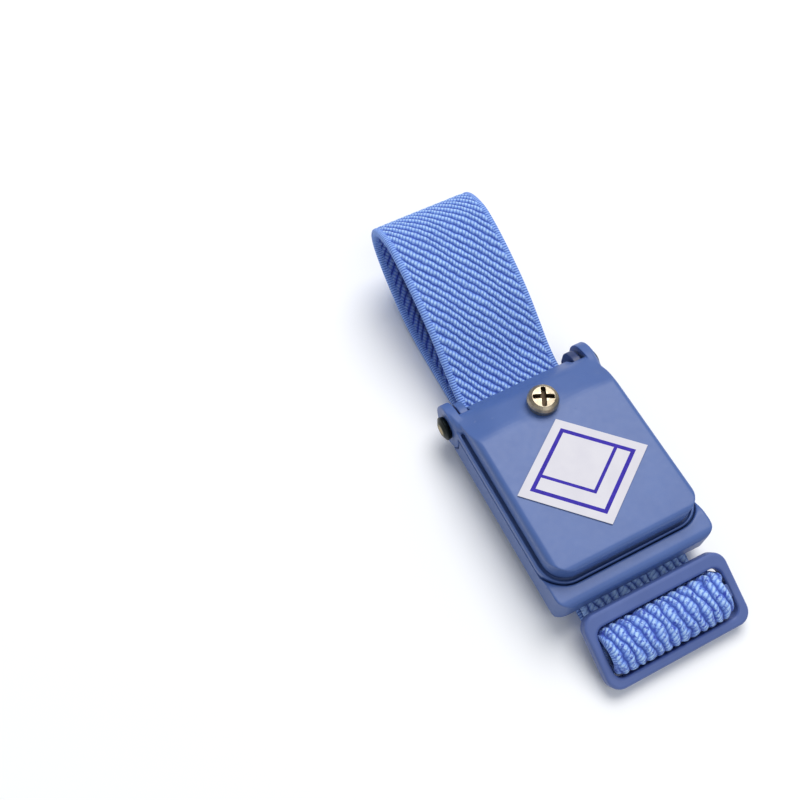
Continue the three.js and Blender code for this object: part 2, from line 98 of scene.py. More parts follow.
# The weave: slanting ribs, and the beads of yarn along them.
RIBS_PER_MM_ACROSS = 0.68
RIBS_PER_MM_ALONG = 0.49
ROLL_RIBS_PER_MM_ALONG = 0.12
BEADS_PER_MM_ACROSS = 1.33
BEADS_PER_MM_ALONG = 1.02
ROWS_PER_RIB = 6
SELVEDGE = 1.15            # width of the firm edge, in millimetres
RIB_DEPTH = 0.36
ROLL_RIB_DEPTH = 0.5
STRANDS_PER_BEAD = 6.0
STRANDS_PER_RIB = 2.0
PICKS_PER_MM = 2.2         # cross threads that show on the firm edge
DARK_LINES_PER_MM = 0.28   # conductive threads on the inner face

# Unevenness of the weave, as waves: size, then radians per millimetre across and along, then a start.
DRIFT = [(0.07, 0.6, 0.31, 0.0), (0.06, 0.83, -0.17, 1.7), (0.05, 1.9, 0.7, 0.0), (0.04, -1.1, 2.9, 0.0)]
ROLL_CRUSH = [(0.09, 0.9, 1.3, 0.0), (0.07, 2.3, -0.8, 0.7)]

# The case, in millimetres.
SCREW_Y = 11.0
SCREW_TOP = 15.65
SCREW_RECESS = 2.05        # radius that holds the whole cross
HINGE_Y = 17.0
HINGE_Z = 6.4
HINGE_SHADE_RADIUS = 3.6          # radius of the painted shade round the pin
WALL_TOP = 8.1
WALL_RAISE = 0.2
LID_CORNER_DROP = 1.1
SCREW_DENT = 0.12

# Mesh clean-up.
FINEST_WELD = 1e-7         # vertices closer than this, in metres, are one
LIGHTER_SHARE = 0.45       # share of its faces that a moulded piece keeps

# The label, as half diagonals in millimetres; its lines are shares of the distance from middle to edge.
LABEL_CENTRE = (-0.6, -2.65)
LABEL_HALF = (11.6, 9.85)
LABEL_TURN = math.radians(-4.8)
BORDER_LINE, BORDER_HALF_WIDTH = 0.772, 0.044
DIVIDING_LINE, DIVIDING_HALF_WIDTH = 0.41, 0.036

# Colours, as linear red, green and blue.
# The yarn's blue, ramped by the weave's height: painted shade in the gaps, painted highlight on the beads.
YARN_TONES_WITH_PAINTED_SHADE = [
    (0.1, (0.022, 0.046, 0.28)), (0.36, (0.068, 0.135, 0.53)),
    (0.62, (0.225, 0.39, 0.88)), (0.95, (0.52, 0.74, 1.0)),
]
YARN_SHEEN = (0.6, 0.72, 1.0)
FADED_YARN = (0.14, 0.24, 0.68)
DARK_FLECK = (0.05, 0.085, 0.5)
# Painted light for the beads past the roll's end, which lie in shadow between case and ring.
PAINTED_LIGHT_YARN = (0.42, 0.62, 1.0)
LINING_SHADE = (0.03, 0.045, 0.42)
CONDUCTIVE_YARN = (0.03, 0.026, 0.03)
SLATE = (0.072, 0.136, 0.362), (0.063, 0.121, 0.333)
RING_SLATE = (0.088, 0.138, 0.36), (0.075, 0.12, 0.32)
BLACK = (0.012, 0.012, 0.016), (0.006, 0.006, 0.01)
RESISTOR_BLUE = (0.3, 0.5, 0.62), (0.25, 0.44, 0.56)
STEEL = (0.62, 0.63, 0.64), (0.48, 0.49, 0.5)
BRASS = (0.72, 0.54, 0.26), (0.55, 0.4, 0.18)
# Painted shade for the tray's right-hand knuckle round the hinge pin.
HINGE_PAINTED_SHADE = (0.012, 0.02, 0.08)
# Painted shade for the screw's cross recess.
RECESS_PAINTED_SHADE = (0.06, 0.035, 0.02)
SCREW_TONES = [(0.35, (0.33, 0.27, 0.19)), (0.65, (0.5, 0.43, 0.32))]
PIN_TONES = [(0.36, (0.3, 0.22, 0.08)), (0.52, (0.05, 0.05, 0.02)), (0.7, (0.006, 0.01, 0.01))]
FILM_TONES = [(0.3, (0.66, 0.64, 0.69)), (0.7, (0.7, 0.68, 0.72))]
INK_TONES = [(0.3, (0.02, 0.008, 0.3)), (0.7, (0.035, 0.015, 0.4))]
FLOOR_TONES = [(0.3, (0.93, 0.93, 0.94)), (0.7, (0.95, 0.95, 0.95))]

# The surroundings, in metres.
FLOOR_HALF_SIZE = 3.0
FLOOR_DROP = 0.0001
KEY_FROM = Vector((0.3, 0.4, 0.95))
FILL_FROM = Vector((0.1, -0.6, 0.8))
SKY_COLOR = (0.88, 0.93, 1.0, 1.0)
SKY_STRENGTH = 0.42

# The viewpoint of the photograph, in radians and millimetres.
VIEW_AZIMUTH = math.radians(-25.6)
VIEW_ELEVATION = math.radians(62.1)
VIEW_ROLL = math.radians(-1.24)
VIEW_DISTANCE = 168.7
VIEW_TARGET = (-17.8, 28.5, 0.0)
VIEW_LENS = 41.48


def at(x, y, z):
    """A point given in millimetres from the case's middle, in the row frame."""
    return Vector((x * MM, y * MM + ORIGIN_Y, z * MM))


# ---------- node materials ----------

class Nodes:
    """Short calls for building one material's node tree."""

    def __init__(self, name, roughness=0.5, metallic=0.0, sheen=0.0):
        self.material = bpy.data.materials.new(name)
        self.material.use_nodes = True
        self.tree = self.material.node_tree
        self.shader = self.tree.nodes["Principled BSDF"]
        self.shader.inputs["Roughness"].default_value = roughness
        self.shader.inputs["Metallic"].default_value = metallic
        self.shader.inputs["Sheen Weight"].default_value = sheen

    def set(self, name, value):
        """Sets or links a socket of the shader."""
        self.feed(self.shader.inputs[name], value)

    def feed(self, socket, value):
        """Links a socket to another, or gives it a constant."""
        if isinstance(value, bpy.types.NodeSocket):
            self.tree.links.new(value, socket)
        elif isinstance(value, (tuple, list)) and len(value) == 3 and socket.type == "RGBA":
            socket.default_value = (*value, 1.0)
        else:
            socket.default_value = value

    def add(self, kind, inputs=(), **settings):
        """A new node with its inputs fed and its settings made."""
        node = self.tree.nodes.new(kind)
        for key, value in settings.items():
            setattr(node, key, value)
        for socket, value in dict(inputs).items():
            self.feed(node.inputs[socket], value)
        return node

    def math(self, operation, a, b=0.0, clamp=False):
        """The result of one operation on numbers or sockets."""
        return self.add("ShaderNodeMath", {0: a, 1: b}, operation=operation, use_clamp=clamp).outputs[0]

    def place(self):
        """The point on the piece, in metres in the row frame."""
        return self.add("ShaderNodeTexCoord").outputs["Object"]

    def coordinates(self):
        """The X, Y and Z of the point on the piece."""
        return self.add("ShaderNodeSeparateXYZ", {0: self.place()}).outputs

    def attribute(self, name):
        """The X, Y and Z of a vector stored on the mesh."""
        vector = self.add("ShaderNodeAttribute", attribute_name=name).outputs["Vector"]
        return self.add("ShaderNodeSeparateXYZ", {0: vector}).outputs

    def combine(self, x, y, z):
        """A vector made from three numbers."""
        return self.add("ShaderNodeCombineXYZ", {0: x, 1: y, 2: z}).outputs[0]

    def noise(self, scale, detail=2.0, roughness=0.5, vector=None):
        """Cloudy variation between 0 and 1, with so many cycles per metre of the piece."""
        where = self.place() if vector is None else vector
        settings = {"Vector": where, "Scale": scale, "Detail": detail, "Roughness": roughness}
        return self.add("ShaderNodeTexNoise", settings).outputs["Fac"]

    def ramp(self, value, stops):
        """A colour read off a row of (position, colour) stops."""
        node = self.add("ShaderNodeValToRGB", {"Fac": value})
        elements = node.color_ramp.elements
        while len(elements) < len(stops):
            elements.new(0.5)
        for element, (position, color) in zip(elements, stops):
            element.position = position
            element.color = (*color, 1.0)
        return node.outputs["Color"]

    def mix(self, factor, a, b):
        """One colour fading into another."""
        node = self.add("ShaderNodeMix", data_type="RGBA")
        self.feed(node.inputs["Factor"], factor)
        self.feed(node.inputs["A"], a)
        self.feed(node.inputs["B"], b)
        return node.outputs["Result"]

    def bump(self, height, strength, depth):
        """Fine relief of the given depth in millimetres."""
        settings = {"Height": height, "Strength": strength, "Distance": depth * MM}
        self.set("Normal", self.add("ShaderNodeBump", settings).outputs["Normal"])


def wave(nodes, phase, sharpness):
    """Rounded ridges from a phase: 1 on each crest, 0 in each valley."""
    turned = nodes.math("COSINE", nodes.math("MULTIPLY", phase, math.pi))
    return nodes.math("POWER", nodes.math("ABSOLUTE", turned), sharpness)


def webbing_height(nodes, rib_phase, bead_phase, selvedge, lengthwise):
    """The cloth's height, near 0 in its gaps and near 1 on its yarn, and the beads of yarn alone."""
    jitter = nodes.math("MULTIPLY", nodes.math("SUBTRACT", nodes.noise(1100.0), 0.5), 0.5)
    rib = wave(nodes, nodes.math("ADD", rib_phase, nodes.math("MULTIPLY", jitter, 0.35)), 0.75)
    bead = wave(nodes, nodes.math("ADD", bead_phase, jitter), 0.8)
    along_strands = nodes.math("MULTIPLY", bead_phase, STRANDS_PER_BEAD)
    over_strands = nodes.math("MULTIPLY", rib_phase, STRANDS_PER_RIB)
    where = nodes.combine(along_strands, over_strands, 0.0)
    strands = nodes.noise(1.0, detail=3.0, roughness=0.6, vector=where)
    beaded = nodes.math("MULTIPLY", rib, nodes.math("ADD", nodes.math("MULTIPLY", bead, 0.6), 0.4))
    field = nodes.math("ADD", nodes.math("MULTIPLY", beaded, 0.85), nodes.math("MULTIPLY", strands, 0.25))
    pick_phase = nodes.math("ADD", nodes.math("MULTIPLY", lengthwise, PICKS_PER_MM), jitter)
    picks = wave(nodes, pick_phase, 0.9)
    edge = nodes.math("ADD", nodes.math("MULTIPLY", picks, 0.45), 0.3)
    return nodes.mix(selvedge, field, edge), beaded


def outer_yarn(nodes, height, beaded, lengthwise, roll_start, roll_end):
    """The outer face's colour: yarn with painted shade in its gaps, faded in patches, flecked most on the
    roll, and painted light past its end.
    """
    # The yarn's blue with painted shade in the gaps and painted highlight on the beads.
    yarn = nodes.ramp(height, YARN_TONES_WITH_PAINTED_SHADE)
    patches = nodes.math("MULTIPLY", nodes.noise(240.0), 0.3)
    faded = nodes.mix(patches, yarn, FADED_YARN)
    past_start = nodes.math("GREATER_THAN", lengthwise, roll_start)
    past_end = nodes.math("MULTIPLY", nodes.math("SUBTRACT", lengthwise, roll_end + 1), 0.5, clamp=True)
    on_roll = nodes.math("MULTIPLY", past_start, nodes.math("SUBTRACT", 1.0, past_end))
    fluff = nodes.math("SUBTRACT", nodes.noise(1500.0, detail=3.0, roughness=0.7), 0.5)
    strength = nodes.math("ADD", nodes.math("MULTIPLY", on_roll, 5.0), 1.5)
    flecks = nodes.math("MULTIPLY", fluff, strength, clamp=True)
    speckled = nodes.mix(flecks, faded, DARK_FLECK)
    # Painted light: the beads past the roll's end are lightened, as that stretch lies in shadow between case
    # and ring.
    pale = nodes.math("MULTIPLY", nodes.math("MULTIPLY", past_end, beaded), 0.9)
    return nodes.mix(pale, speckled, PAINTED_LIGHT_YARN)


def webbing_material(roll_start, roll_end):
    """Elastic webbing: light beads of yarn with painted highlight along each rib, deep blue gaps with painted
    shade, and a darker inner face.
    """
    nodes = Nodes("webbing_weave", roughness=0.8, sheen=0.2)
    nodes.shader.inputs["Sheen Roughness"].default_value = 0.45
    nodes.set("Sheen Tint", YARN_SHEEN)
    nodes.shader.inputs["Specular IOR Level"].default_value = 0.2
    rib_phase, bead_phase, selvedge = nodes.attribute("weave")[:3]
    across, lengthwise, inner = nodes.attribute("lie")[:3]
    height, beaded = webbing_height(nodes, rib_phase, bead_phase, selvedge, lengthwise)
    outside = outer_yarn(nodes, height, beaded, lengthwise, roll_start, roll_end)
    conductive = wave(nodes, nodes.math("MULTIPLY", across, DARK_LINES_PER_MM), 14.0)
    dim = nodes.mix(0.35, outside, LINING_SHADE)
    threaded = nodes.mix(nodes.math("MULTIPLY", conductive, 0.5), dim, CONDUCTIVE_YARN)
    lining = nodes.mix(selvedge, threaded, outside)
    nodes.set("Base Color", nodes.mix(inner, outside, lining))
    nodes.bump(height, strength=0.8, depth=0.28)
    return nodes.material


def plastic_material(name, color, shade, roughness=0.42, with_hinge_shade=False):
    """Moulded plastic with a faint mottle, fine mould texture, a little handling wear and, if asked, painted
    shade round the hinge.
    """
    nodes = Nodes(name, roughness=roughness)
    nodes.shader.inputs["Specular IOR Level"].default_value = 0.45
    mottle = nodes.noise(120.0, detail=3.0, roughness=0.6)
    tone = nodes.ramp(mottle, [(0.3, shade), (0.7, color)])
    # Painted shade: darkens the right-hand knuckle round the hinge pin, which sits in shadow.
    if with_hinge_shade:
        tone = nodes.mix(painted_hinge_shade(nodes), tone, HINGE_PAINTED_SHADE)
    nodes.set("Base Color", tone)
    rubbed = nodes.math("MULTIPLY", nodes.noise(900.0, detail=3.0, roughness=0.6), 0.12)
    nodes.set("Roughness", nodes.math("ADD", rubbed, roughness - 0.06))
    nodes.bump(nodes.noise(2600.0), strength=0.12, depth=0.04)
    return nodes.material


def hinge_reach(nodes):
    """The distance from the hinge's axis, in millimetres."""
    y, z = nodes.coordinates()[1:3]
    axis = at(0.0, HINGE_Y, HINGE_Z)
    along = nodes.math("POWER", nodes.math("SUBTRACT", y, axis.y), 2.0)
    above = nodes.math("POWER", nodes.math("SUBTRACT", z, axis.z), 2.0)
    away = nodes.math("SQRT", nodes.math("ADD", along, above))
    return nodes.math("MULTIPLY", away, 1 / MM)


def painted_hinge_shade(nodes):
    """How much painted shade darkens the right-hand knuckle, fading out a little way from the pin."""
    close = nodes.math("MULTIPLY", nodes.math("SUBTRACT", HINGE_SHADE_RADIUS, hinge_reach(nodes)), 2.5, clamp=True)
    on_right = nodes.math("GREATER_THAN", nodes.coordinates()[0], 0.0)
    return nodes.math("MULTIPLY", nodes.math("MULTIPLY", close, on_right), 0.8)


def metal_material(name, color, shade, roughness):
    """Metal with fine scratches and slight tarnish."""
    nodes = Nodes(name, roughness=roughness, metallic=1.0)
    tarnish = nodes.noise(700.0, detail=4.0, roughness=0.7)
    nodes.set("Base Color", nodes.ramp(tarnish, [(0.35, shade), (0.65, color)]))
    nodes.set("Roughness", nodes.math("ADD", nodes.math("MULTIPLY", tarnish, 0.25), roughness - 0.1))
    nodes.bump(nodes.noise(5000.0), strength=0.1, depth=0.02)
    return nodes.material


def screw_material():
    """Bright nickel-brass head, with painted shade darkening the recess the deeper it sinks."""
    nodes = Nodes("screw_finish", roughness=0.26, metallic=1.0)
    x, y, z = nodes.coordinates()[:3]
    head = at(0.0, SCREW_Y, SCREW_TOP)
    along = nodes.math("POWER", nodes.math("SUBTRACT", y, head.y), 2.0)
    away = nodes.math("ADD", nodes.math("POWER", x, 2.0), along)
    inside = nodes.math("LESS_THAN", away, (SCREW_RECESS * MM) ** 2)
    # Painted shade: the recess darkens, and turns rougher, the deeper it sinks below the head.
    sunk = nodes.math("MULTIPLY", nodes.math("SUBTRACT", head.z - 0.25 * MM, z), 1.8 / MM, clamp=True)
    recess_shade = nodes.math("MULTIPLY", inside, sunk)
    scuffs = nodes.noise(900.0, detail=4.0, roughness=0.7)
    polish = nodes.ramp(scuffs, SCREW_TONES)
    nodes.set("Base Color", nodes.mix(nodes.math("MULTIPLY", recess_shade, 0.85), polish, RECESS_PAINTED_SHADE))
    worn = nodes.math("ADD", nodes.math("MULTIPLY", scuffs, 0.2), 0.26)
    nodes.set("Roughness", nodes.math("ADD", nodes.math("MULTIPLY", recess_shade, 0.3), worn))
    nodes.bump(nodes.noise(4000.0), strength=0.1, depth=0.02)
    return nodes.material


def pin_material():
    """Oxidised hinge pin: nearly black rims round brass middles."""
    nodes = Nodes("pin_finish", roughness=0.4, metallic=0.85)
    ragged = nodes.math("MULTIPLY", nodes.noise(1500.0, detail=3.0), 0.5)
    uneven = nodes.math("ADD", hinge_reach(nodes), ragged)
    nodes.set("Base Color", nodes.ramp(nodes.math("DIVIDE", uneven, 2.6), PIN_TONES))
    nodes.bump(nodes.noise(3000.0), strength=0.15, depth=0.03)
    return nodes.material


def label_sides(nodes):
    """Two distances from the label's middle, square to its sides, each 1 at the edge of the film."""
    x, y = nodes.coordinates()[:2]
    centre = at(*LABEL_CENTRE, 0.0)
    x = nodes.math("SUBTRACT", x, centre.x)
    y = nodes.math("SUBTRACT", y, centre.y)

    def along(angle, half):
        east = nodes.math("MULTIPLY", x, math.cos(angle) / (half * MM))
        north = nodes.math("MULTIPLY", y, math.sin(angle) / (half * MM))
        return nodes.math("ADD", east, north)

    wide = along(LABEL_TURN, LABEL_HALF[0])
    tall = along(LABEL_TURN + math.pi / 2, LABEL_HALF[1])
    return nodes.math("ADD", wide, tall), nodes.math("SUBTRACT", wide, tall)


def label_ink(nodes):
    """1 on the printed border and the two dividing lines, and 0 on the bare film."""
    rising, falling = label_sides(nodes)

    def near(value, middle, half_width):
        distance = nodes.math("ABSOLUTE", nodes.math("SUBTRACT", value, middle))
        return nodes.math("LESS_THAN", distance, half_width)

    rim = nodes.math("MAXIMUM", nodes.math("ABSOLUTE", rising), nodes.math("ABSOLUTE", falling))
    border = near(rim, BORDER_LINE, BORDER_HALF_WIDTH)
    corner = DIVIDING_LINE + DIVIDING_HALF_WIDTH
    middle = (corner - BORDER_LINE) / 2
    half_run = (corner + BORDER_LINE) / 2
    low_left = nodes.math("MULTIPLY", near(rising, -DIVIDING_LINE, DIVIDING_HALF_WIDTH),
                          near(falling, middle, half_run))
    low_right = nodes.math("MULTIPLY", near(falling, DIVIDING_LINE, DIVIDING_HALF_WIDTH),
                           near(rising, -middle, half_run))
    return nodes.math("MAXIMUM", border, nodes.math("MAXIMUM", low_left, low_right))


def label_material():
    """White film printed with an indigo border and two dividing lines, and no lettering."""
    nodes = Nodes("label_print", roughness=0.6)
    nodes.shader.inputs["Specular IOR Level"].default_value = 0.25
    film = nodes.ramp(nodes.noise(320.0, detail=3.0), FILM_TONES)
    print_tone = nodes.ramp(nodes.noise(1500.0), INK_TONES)
    nodes.set("Base Color", nodes.mix(label_ink(nodes), film, print_tone))
    nodes.bump(nodes.noise(1800.0), strength=0.06, depth=0.03)
    return nodes.material


# ---------- the woven band ----------

def spline(points, steps):
    """Catmull-Rom curve through the points."""
    points = np.array(points, float)
    padded = np.vstack([2 * points[0] - points[1], points, 2 * points[-1] - points[-2]])
    curve = []
    for value in np.linspace(0.0, len(points) - 1.0, steps + 1):
        i = min(int(value), len(points) - 2)
        t = value - i
        a, b, c, d = padded[i:i + 4]
        curve.append(0.5 * (2 * b + (c - a) * t + (2 * a - 5 * b + 4 * c - d) * t * t
                            + (3 * b - 3 * c + d - a) * t ** 3))
    return np.array(curve)


def arc(centre, radius, start, end, steps):
    """Points round part of a circle."""
    angles = np.linspace(start, end, steps + 1)
    return np.stack([centre[0] + radius * np.cos(angles), centre[1] + radius * np.sin(angles)], 1)


def band_route():
    """The outer face's path in Y and Z, and the distances along it where the roll starts and ends."""
    top = BAND_TOP_IN_CASE
    loop = spline([
        (6.5, top), (10, top), (14, top), (17, 4.7), (20, 4.95), (23.5, 6.4), (27, 8.8), (31, 11.5),
        (34.5, 13.4), (38, 14.9), (41.5, 16.2), (45.4, 17.3), (49, 17.7), (52.8, 16.6), (55.3, 14.6),
        (56, 12.2), (54.7, 9.3), (51, 6), (47.2, 3.6), (43.4, 1.7), (39.5, 0.6), (35.5, 0.1), (32, 0),
    ], 400)
    flat = np.stack([np.linspace(31, FOLD_Y, 120), np.zeros(120)], 1)
    roll = arc((FOLD_Y, FOLD_RADIUS), FOLD_RADIUS, -math.pi / 2, -11 / 6 * math.pi, 90)
    free = spline([
        tuple(roll[-1]), (-24.25, 4.4), (-23.4, 3.8), (-22.3, 3.75), (-21.2, 4.05), (-20.2, 4.4),
        (-19, 4.65), (-17.5, 4.74), (-15, top), (-10, top), (-6.5, top),
    ], 200)
    start = path_length(np.vstack([loop, flat]))
    return np.vstack([loop, flat, roll[1:], free[1:]]), start, start + path_length(roll)


def path_length(path):
    """The length of a line of points."""
    return float(np.linalg.norm(np.diff(path, axis=0), axis=1).sum())


def evenly(path, spacing):
    """The path again, with points an even distance apart, and the distance of each."""
    steps = np.linalg.norm(np.diff(path, axis=0), axis=1)
    travelled = np.concatenate([[0.0], np.cumsum(steps)])
    distance = np.arange(0.0, travelled[-1], spacing)
    return read_along(path, travelled, distance), distance


def read_along(values, known, wanted):
    """Pairs of values, known at some distances along the band, read at the wanted ones."""
    return np.stack([np.interp(wanted, known, column) for column in values.T], -1)


def smooth_step(low, high, value):
    """0 below the low value and 1 above the high one, with a smooth rise between."""
    t = np.clip((value - low) / (high - low), 0.0, 1.0)
    return t * t * (3 - 2 * t)


def waves(rows, x, s):
    """The sum of some waves over the band, x across it and s along it."""
    return sum(size * np.sin(across * x + along * s + start) for size, across, along, start in rows)


class Weave:
    """The band's woven relief, which slants on the loop and turns straight round the roll."""

    def __init__(self, length, roll_start, roll_end):
        self.distance = np.linspace(0.0, length, 4000)
        self.roll = smooth_step(roll_start - 9, roll_start + 2, self.distance)
        rate = RIBS_PER_MM_ALONG + (ROLL_RIBS_PER_MM_ALONG - RIBS_PER_MM_ALONG) * self.roll
        self.ribs = np.concatenate([[0.0], np.cumsum(rate[:-1] * np.diff(self.distance))])
        arriving = roll_start - 1.5, roll_start + 3
        self.spread = self.stretch(arriving, (roll_end + 0.5, roll_end + 4))
        self.curl = self.stretch(arriving, (roll_end - 3, roll_end + 0.5))
        self.bulge = self.stretch((roll_end - 5, roll_end - 0.6), (roll_end, roll_end + 1.6))
        self.flare = self.stretch((roll_end - 2, roll_end - 0.5), (roll_end + 1.5, roll_end + 3))

    def stretch(self, rise, fall):
        """1 on a stretch of the band, with a smooth rise before it and a smooth fall after it."""
        return smooth_step(*rise, self.distance) * (1 - smooth_step(*fall, self.distance))

    def at(self, values, s):
        """One of this weave's quantities, read at distances along the band."""
        return np.interp(s, self.distance, values)

    def phases(self, x, s):
        """Rib and bead phases, with the slight unevenness of real weaving."""
        roll = self.at(self.roll, s)
        drift = waves(DRIFT, x, s) + roll * waves(ROLL_CRUSH, x, s)
        rib = RIBS_PER_MM_ACROSS * x + self.at(self.ribs, s) + drift
        bead = BEADS_PER_MM_ACROSS * (1 - 0.4 * roll) * x - (BEADS_PER_MM_ALONG + 0.2 * roll) * s
        return rib, bead + 0.5 * drift

    def relief(self, x, s, inner):
        """How far the face sinks below its highest point, in millimetres, and where the selvedge is."""
        rib, _ = self.phases(x, s)
        roll = self.at(self.roll, s)
        crest = np.abs(np.cos(math.pi * rib)) ** (0.85 - 0.2 * roll)
        depth = np.where(inner, 0.75 * RIB_DEPTH, RIB_DEPTH + (ROLL_RIB_DEPTH - RIB_DEPTH) * roll)
        edge = BAND_WIDTH / 2 - SELVEDGE * (1 - 0.7 * roll)
        on_selvedge = smooth_step(edge - 0.1, edge + 0.15, np.abs(x))
        seam = 0.12 * np.exp(-((np.abs(x) - edge) / 0.16) ** 2)
        return depth * (1 - crest) * (1 - on_selvedge) + 0.04 * on_selvedge + seam, on_selvedge

    def cushion(self, x, s):
        """Sideways and inward shifts that plump the roll and close its ends."""
        start = BAND_WIDTH / 2 - CUSHION_ROUND
        end = np.clip((np.abs(x) - start) / (BAND_WIDTH / 2 - start), 0.0, 1.0)
        sideways = self.at(self.spread, s) * (ROLL_SHIFT + ROLL_SPREAD * x)
        sideways = sideways + self.at(self.flare, s) * ROLL_FLARE * smooth_step(4.0, 10.0, x)
        inwards = self.at(self.curl, s) * ROLL_CURL * (1 - np.sqrt(1 - end ** 2))
        return sideways, inwards - self.at(self.bulge, s) * ROLL_BULGE * (1 - end ** 2)


def section_columns():
    """Places across the band, once round it: the outer face left to right, then the inner face back."""
    half = BAND_WIDTH / 2
    rim = EDGE_ROUND
    corner = [half - rim * (1 - math.sin(a)) for a in np.linspace(0, math.pi / 2, EDGE_COLUMNS)]
    field_outer = np.linspace(-(half - rim), half - rim, OUTER_COLUMNS)
    field_inner = np.linspace(half - rim, -(half - rim), INNER_COLUMNS)
    outer = [-c for c in corner[:0:-1]] + list(field_outer) + corner[1:]
    inner = corner[-2:0:-1] + list(field_inner) + [-c for c in corner[1:-1]]
    x = np.array(outer + inner)
    is_inner = np.array([False] * len(outer) + [True] * len(inner))
    inset = np.clip((np.abs(x) - (half - rim)) / rim, 0.0, 1.0)
    return x, is_inner, np.sqrt(1 - inset ** 2)


def inward_normals(path, window=25):
    """Unit normals towards the band's inner face, smoothed over a window of points."""
    tangent = np.gradient(path, axis=0)
    kernel = np.hanning(window) / np.hanning(window).sum()
    padded = [np.pad(column, window // 2, mode="edge") for column in tangent.T]
    tangent = np.stack([np.convolve(column, kernel, "valid") for column in padded], 1)
    tangent /= np.linalg.norm(tangent, axis=1)[:, None]
    return np.stack([tangent[:, 1], -tangent[:, 0]], 1)


def slanting_rows(x, length):
    """The distance along the band of each grid point, for rows that follow the ribs' slant."""
    slant = RIBS_PER_MM_ACROSS / RIBS_PER_MM_ALONG
    row_step = 1 / (RIBS_PER_MM_ALONG * ROWS_PER_RIB)
    reach = slant * BAND_WIDTH / 2
    starts = np.arange(-reach, length + reach + row_step, row_step)
    return np.clip(starts[:, None] - slant * x[None, :], 0.0, length)


def grid_faces(rows, columns):
    """Four-sided faces of a grid whose last column joins its first."""
    index = np.arange(rows * columns).reshape(rows, columns)
    after = np.roll(index, -1, axis=1)
    return np.stack([index[:-1], index[1:], after[1:], after[:-1]], -1).reshape(-1, 4)


def band_mesh():
    """The band as one closed surface with rows along the slanting ribs, its length and its roll's ends."""
    route, roll_start, roll_end = band_route()
    path, distance = evenly(route, PATH_SPACING)
    length = distance[-1]
    weave = Weave(length, roll_start, roll_end)
    x, is_inner, roundness = section_columns()
    s = slanting_rows(x, length)

    sunk, on_selvedge = weave.relief(x[None, :], s, is_inner[None, :])
    sideways, inwards = weave.cushion(x[None, :], s)
    half = BAND_THICKNESS / 2
    offset = (half + RELIEF_ROOM - sunk) * roundness[None, :]
    depth = half + np.where(is_inner[None, :], offset, -offset)
    point = read_along(path, distance, s)
    normal = read_along(inward_normals(path), distance, s)
    surface = point + normal * (depth + inwards)[..., None]

    across = np.broadcast_to(x[None, :], s.shape)
    places = [(across + sideways) * MM, surface[..., 0] * MM + ORIGIN_Y, surface[..., 1] * MM]
    vertices = np.stack(places, -1).reshape(-1, 3)
    mesh = bpy.data.meshes.new("woven_band")
    mesh.from_pydata(vertices.tolist(), [], grid_faces(*s.shape).tolist())
    rib, bead = weave.phases(across, s)
    store(mesh, "weave", rib, bead, on_selvedge)
    store(mesh, "lie", across, s, np.broadcast_to(is_inner[None, :], s.shape))
    close_ends(mesh)
    return mesh, length, (roll_start, roll_end)


def store(mesh, name, a, b, c):
    """Keeps three numbers per vertex for the material."""
    values = np.stack([np.broadcast_to(part, a.shape).reshape(-1) for part in (a, b, c)], 1)
    attribute = mesh.attributes.new(name, "FLOAT_VECTOR", "POINT")
    attribute.data.foreach_set("vector", values.astype(np.float32).reshape(-1))


def close_ends(mesh):
    """Welds the rows that ran off each end, fills the two cut ends and smooths the shading."""
    work = bmesh.new()
    work.from_mesh(mesh)
    bmesh.ops.remove_doubles(work, verts=work.verts, dist=FINEST_WELD)
    bmesh.ops.dissolve_degenerate(work, edges=work.edges, dist=FINEST_WELD / 10)
    rim = [edge for edge in work.edges if edge.is_boundary]
    bmesh.ops.holes_fill(work, edges=rim, sides=0)
    bmesh.ops.recalc_face_normals(work, faces=work.faces)
    for face in work.faces:
        face.smooth = True
    work.to_mesh(mesh)
    work.free()


def woven_band():
    """Adds the finished band in place of the CAD one."""
    mesh, length, roll = band_mesh()
    band = bpy.data.objects.new("woven_band", mesh)
    bpy.context.scene.collection.objects.link(band)
    mesh.materials.append(webbing_material(*roll))
    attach(band, "strap")
    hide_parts("wrist_band")


# ---------- moulded pieces ----------

def welded_copy(source):
    """A copy of a CAD node's mesh with its shared corners joined."""
    mesh = source.data.copy()
    work = bmesh.new()
    work.from_mesh(mesh)
    bmesh.ops.remove_doubles(work, verts=work.verts, dist=FINEST_WELD)
    work.to_mesh(mesh)
    work.free()
    return mesh


def softened(mesh, voxel, rounds):
    """The mesh remade in small even faces, smoothed for some rounds and then thinned out."""
    rough = bpy.data.objects.new("rough", mesh)
    bpy.context.scene.collection.objects.link(rough)
    remesh = rough.modifiers.new("remesh", "REMESH")
    remesh.mode = "VOXEL"
    remesh.voxel_size = voxel * MM
    soften = rough.modifiers.new("soften", "SMOOTH")
    soften.factor = 0.5
    soften.iterations = rounds
    lighten = rough.modifiers.new("lighten", "DECIMATE")
    lighten.ratio = LIGHTER_SHARE
    graph = bpy.context.evaluated_depsgraph_get()
    smooth = bpy.data.meshes.new_from_object(rough.evaluated_get(graph))
    bpy.data.objects.remove(rough)
    return smooth


def soft_copy(node, name, material, sculpt, voxel, rounds):
    """A moulded copy of a CAD node: its sharp edges softened, and its outside shaped by the given sculpt."""
    source = frame["nodes"][node]
    mesh = softened(welded_copy(source), voxel, rounds)
    places = np.empty(len(mesh.vertices) * 3, np.float32)
    mesh.vertices.foreach_get("co", places)
    mesh.vertices.foreach_set("co", sculpt(places.reshape(-1, 3)).astype(np.float32).reshape(-1))
    mesh.materials.clear()
    mesh.materials.append(material)
    mesh.shade_smooth()
    piece = bpy.data.objects.new(name, mesh)
    bpy.context.scene.collection.objects.link(piece)
    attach(piece, body_of(source)[0])
    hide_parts(node)


